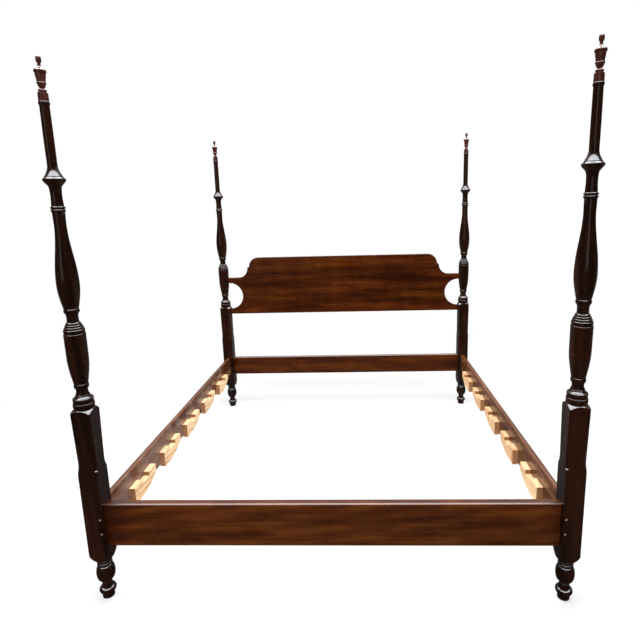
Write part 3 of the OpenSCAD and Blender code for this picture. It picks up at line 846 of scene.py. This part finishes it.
def finialProfile():
    shape = [(0, finial["pinDepth"]), (finial["pinRadius"], finial["pinDepth"]), (finial["pinRadius"], 0)]
    shape += [(16.4, 0), (16.9, 0.2), (17.6, 1), (17.6, 27), (17.3, 28), (16.4, 28.7), (12, 29)]
    shape += bead(30, 41, 11, 14.3) + [(8, 42), (7.8, 44)]
    shape += swell(45, 8.5, 58, 13.8, 8) + bead(59, 65, 14, 16.3, 10)
    shape += sShape(66, 14.6, 95, 17.8) + bead(96, 109, 17, 21, 12)
    shape += bell(121, 6.2, 110, 14.4, 8)[::-1] + [(5.6, 123), (5.6, 130)]
    shape += bead(131, 155, 5.4, 9.6, 16) + [(3.4, 156.5), (2.6, 158), (1.6, 159), (0, 160)]
    return [(radius, height + post["top"]) for radius, height in shape]


finialModel = turnOnLathe("finialModel", finialProfile(), finial["latheSteps"])
smooth(finialModel)
for corner, (label, sideX, sideY) in corners.items():
    piece = copyTo(finialModel, "finial" + label, (sideX * bed["halfX"], sideY * bed["halfY"], 0))
    dress(piece, finialWood, "finial_wood", corner + "_finial", "finial_" + corner)
bpy.data.objects.remove(finialModel, do_unlink=True)
print("finials turned")

rail = {  # metres
    "thick": 0.030, "top": 0.446, "low": 0.296, "footThick": 0.040, "footTop": 0.459, "footLow": 0.264,
    "topRound": 0.009, "ease": 0.0015,
    "tenonThick": 0.012, "tenonLong": 0.045, "tenonShoulder": 0.020, "tenonEase": 0.001,
}
faceX = bed["halfX"] - post["width"] / 2 * mm  # where rails meet the posts
faceY = bed["halfY"] - post["width"] / 2 * mm


def railBar(name, low, high, along):  # along is 0 for a rail on X and 1 for one on Y
    piece = addBox(name, low, high)
    length = high[along] - low[along]
    roundEdges(piece, rail["topRound"], steps=6,
               test=lambda a, b: min(a.z, b.z) > high[2] - near and abs((a - b)[along]) > length * 0.9)
    roundEdges(piece, rail["ease"], steps=2,
               test=lambda a, b: max(a.z, b.z) < low[2] + near and abs((a - b)[along]) > length * 0.9)
    return piece


def crossRail(name, low, high, thick, y):
    half = thick / 2
    piece = railBar(name, (-faceX, y - half, low), (faceX, y + half, high), 0)
    reach, half = faceX + rail["tenonLong"], rail["tenonThick"] / 2
    tenon = addBox("railTenon", (-reach, y - half, low + rail["tenonShoulder"]),
                   (reach, y + half, high - rail["tenonShoulder"]))
    roundEdges(tenon, rail["tenonEase"], steps=1,
               test=lambda a, b: abs(abs(a.x) - reach) < near and abs(abs(b.x) - reach) < near)
    combine(piece, tenon, "UNION")
    return piece


def sideRail(name, x):
    half = rail["thick"] / 2
    return railBar(name, (x - half, -faceY, rail["low"]), (x + half, faceY, rail["top"]), 1)


footRail = crossRail("footRail", rail["footLow"], rail["footTop"], rail["footThick"], -bed["halfY"])
headRail = crossRail("headRail", rail["low"], rail["top"], rail["thick"], bed["halfY"])
sideRailLeft = sideRail("sideRailLeft", -bed["halfX"])
sideRailRight = sideRail("sideRailRight", bed["halfX"])
for piece, wood, node in ((footRail, crossRailWood, "foot_rail"), (headRail, crossRailWood, "head_rail"),
                          (sideRailLeft, sideRailWood, "side_rail_left"),
                          (sideRailRight, sideRailWood, "side_rail_right")):
    smooth(piece)
    dress(piece, wood, "rail_wood", "bed_frame", node)
print("rails planed")

board = {  # millimetres
    "low": 830, "high": 1303, "thick": 22, "armTop": 1137, "armHigh": 44,
    "armDeep": 26,  # how far the arms run into the posts
    "crestHalf": 702, "hollow": 78,  # half the crest's straight length, radius of the hollows
    "stepWide": 16, "stepHigh": 10, "stepRound": 6, "stepDip": 1,  # between hollow and shoulder
    "cutoutX": 955, "edge": 2.2,
    "arcStep": 3.75,  # degrees between the points of an arc
}


def arc(centreX, centreZ, radius, start, end):
    points = []
    count = round(abs(end - start) / board["arcStep"])
    for i in range(count + 1):
        angle = math.radians(start + (end - start) * i / count)
        points.append((centreX + radius * math.cos(angle), centreZ + radius * math.sin(angle)))
    return points


def headboardOutline():
    cutRadius = (board["armTop"] - 2 * board["armHigh"] - board["low"]) / 2
    cutMiddle = board["low"] + board["armHigh"] + cutRadius
    hollowTop = board["armTop"] + board["hollow"]
    shoulder = board["high"] - hollowTop - board["stepHigh"]
    stepX = board["crestHalf"] + shoulder + board["stepWide"]
    end = faceX / mm + board["armDeep"]
    right = [(end, board["low"]), (end, board["low"] + board["armHigh"])]
    right += arc(board["cutoutX"], cutMiddle, cutRadius, 270, 90)
    right += [(end, board["armTop"] - board["armHigh"]), (end, board["armTop"])]
    right += arc(stepX + board["hollow"], hollowTop, board["hollow"], 270, 180)
    right += [(stepX - board["stepRound"], board["high"] - shoulder - board["stepDip"])]
    right += arc(board["crestHalf"], board["high"] - shoulder, shoulder, 0, 90)
    left = [(-x, z) for x, z in reversed(right)]
    return right + left


front = bed["halfY"] - board["thick"] / 2 * mm
headboardPanel = sawOut("headboardPanel", [(x * mm, front, z * mm) for x, z in headboardOutline()],
                        (0, board["thick"] * mm, 0))
easeEdges(headboardPanel, board["edge"] * mm, steps=3, angle=40)
smooth(headboardPanel)
dress(headboardPanel, boardWood, "board_wood", "bed_frame", "headboard")
print("headboard sawn")

block = {  # millimetres
    "count": 5, "pitch": 353, "long": 236, "thick": 29, "rise": 74, "drop": 8, "toe": 38,
    "notchWide": 76, "notchDeep": 22, "curveFrom": -0.15, "curveSteps": 20, "edge": 1.0,
    "screwAlong": 78, "screwRise": 32, "sinkRadius": 4.3, "sinkTip": 2.05, "sinkDeep": 2.6,
    "sinkProud": 0.1, "sinkSides": 24,
}
innerX = bed["halfX"] - rail["thick"] / 2  # of the side rails' inner faces


def blockOutline():
    half, rise, steps = block["long"] / 2, block["rise"], block["curveSteps"]
    start = block["curveFrom"] * block["long"]
    climb = rise + block["drop"] - block["toe"]
    outline = [(-half, -block["drop"])]
    for i in range(steps + 1):
        outline.append((start + (half - start) * i / steps, -block["drop"] + climb * (i / steps) ** 2))
    notch, bottom = block["notchWide"] / 2, rise - block["notchDeep"]
    return outline + [(half, rise), (notch, rise), (notch, bottom), (-notch, bottom), (-notch, rise),
                      (-half, rise)]


def blockY(i):  # the place of the block's middle, i from 0, in millimetres
    return (i - (block["count"] - 1) / 2) * block["pitch"]


blockModel = sawOut("blockModel", [(0, y * mm, z * mm) for y, z in blockOutline()],
                    (block["thick"] * mm, 0, 0))
for along in (-block["screwAlong"], block["screwAlong"]):
    sinkX = block["thick"] - block["sinkDeep"] / 2 + block["sinkProud"]
    clearSelection()
    bpy.ops.mesh.primitive_cone_add(
        vertices=block["sinkSides"], radius1=block["sinkTip"] * mm, radius2=block["sinkRadius"] * mm,
        depth=block["sinkDeep"] * mm, location=(sinkX * mm, along * mm, block["screwRise"] * mm),
        rotation=(0, math.radians(90), 0))
    countersink = bpy.context.object
    settle(countersink)
    combine(blockModel, countersink, "DIFFERENCE")
easeEdges(blockModel, block["edge"] * mm, steps=2, angle=40)
# the model lies against the left rail, its inner face towards +X
for side, sideX in (("left", -1), ("right", 1)):
    for i in range(block["count"]):
        piece = copyTo(blockModel, "slatBlock%s%d" % (side.capitalize(), i + 1),
                       (sideX * innerX, blockY(i) * mm, rail["low"]), mirrored=sideX > 0)
        smooth(piece)
        dress(piece, pineWood, "pine", "bed_frame", "slat_block_%s_%d" % (side, i + 1))
bpy.data.objects.remove(blockModel, do_unlink=True)
print("slat blocks cut")

peg = {  # millimetres
    "radius": 4.5, "proud": 0.6, "deep": 20, "sides": 28,
    "offset": 28, "heights": (333, 400),  # from the post's middle, and above the floor
    # the domed end in rings: their width as a share of the radius, their rise as one of proud
    "dome": ((0.12, 1 / 2), (0.3, 1 / 3), (0.3, 1 / 6)),
}


def pegModel():  # its end faces -Y, at the face of a post
    clearSelection()
    bpy.ops.mesh.primitive_cylinder_add(
        vertices=peg["sides"], radius=peg["radius"] * mm, depth=peg["deep"] * mm,
        location=(0, peg["deep"] / 2 * mm, 0), rotation=(math.radians(90), 0, 0))
    piece = bpy.context.object
    settle(piece)
    selectWhere(piece, "FACE", lambda centre, normal: normal.y < -0.9)
    for share, rise in peg["dome"]:
        bpy.ops.mesh.inset(thickness=peg["radius"] * share * mm, depth=0)
        bpy.ops.transform.translate(value=(0, -rise * peg["proud"] * mm, 0))
    bpy.ops.object.mode_set(mode="OBJECT")
    smooth(piece, angle=50)
    return piece


pegStart = pegModel()
for end, sideY, name in (("foot", -1, "footRailPegs"), ("head", 1, "headRailPegs")):
    pegs = []
    for sideX in (-1, 1):
        for height in peg["heights"]:
            place = (sideX * (bed["halfX"] - peg["offset"] * mm),
                     sideY * (bed["halfY"] + post["width"] / 2 * mm), height * mm)
            pegs.append(copyTo(pegStart, "peg", place, turn=(0, 0, math.pi if sideY > 0 else 0)))
    dress(joinAll(pegs, name), pegWood, "peg_wood", "bed_frame", end + "_rail_pegs")
bpy.data.objects.remove(pegStart, do_unlink=True)

screw = {  # millimetres
    "headRadius": 3.9, "headDeep": 2.2, "rim": 0.3, "ease": 0.05, "shank": 2.0, "deep": 12,
    "slotWide": 0.9, "slotDeep": 0.9, "sunk": 0.5, "latheSteps": 24,
    "turn": 37,  # degrees from screw to screw
}


def screwModel():  # its head faces +X
    head, shank, rim = screw["headRadius"], screw["shank"], screw["rim"]
    profile = [(0, -screw["deep"]), (shank, -screw["deep"]), (shank, -screw["headDeep"]),
               (head, -rim), (head, -screw["ease"]), (head - rim, 0), (0, 0)]
    piece = turnOnLathe("screwModel", profile, screw["latheSteps"])
    wide, deep = screw["slotWide"] / 2 * mm, screw["slotDeep"] * mm
    slot = addBox("screwSlot", (-2 * head * mm, -wide, -deep), (2 * head * mm, wide, head * mm))
    combine(piece, slot, "DIFFERENCE")
    piece.rotation_euler = (0, math.radians(90), 0)
    settle(piece)
    smooth(piece)
    return piece


screwStart = screwModel()
screws = []
for sideX in (-1, 1):
    x = sideX * (innerX - (block["thick"] - screw["sunk"]) * mm)
    for i in range(block["count"]):
        for side in (-1, 1):
            turn = (math.radians(screw["turn"] * (i + 2 * side)), 0, math.pi if sideX > 0 else 0)
            y = (blockY(i) + side * block["screwAlong"]) * mm
            place = (x, y, rail["low"] + block["screwRise"] * mm)
            screws.append(copyTo(screwStart, "blockScrew", place, turn=turn))
dress(joinAll(screws, "slatBlockScrews"), zincSteel, "steel", "bed_frame", "slat_block_screws")
bpy.data.objects.remove(screwStart, do_unlink=True)
print("pegs and screws in")

# hook plates, their screws and pins, and the finials' pins stay as the frame has them
for name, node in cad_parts.items():
    if name.startswith(("finial_pin", "hook")):
        node.data.materials.clear()
        node.data.materials.append(zincSteel)
print("steel dressed")
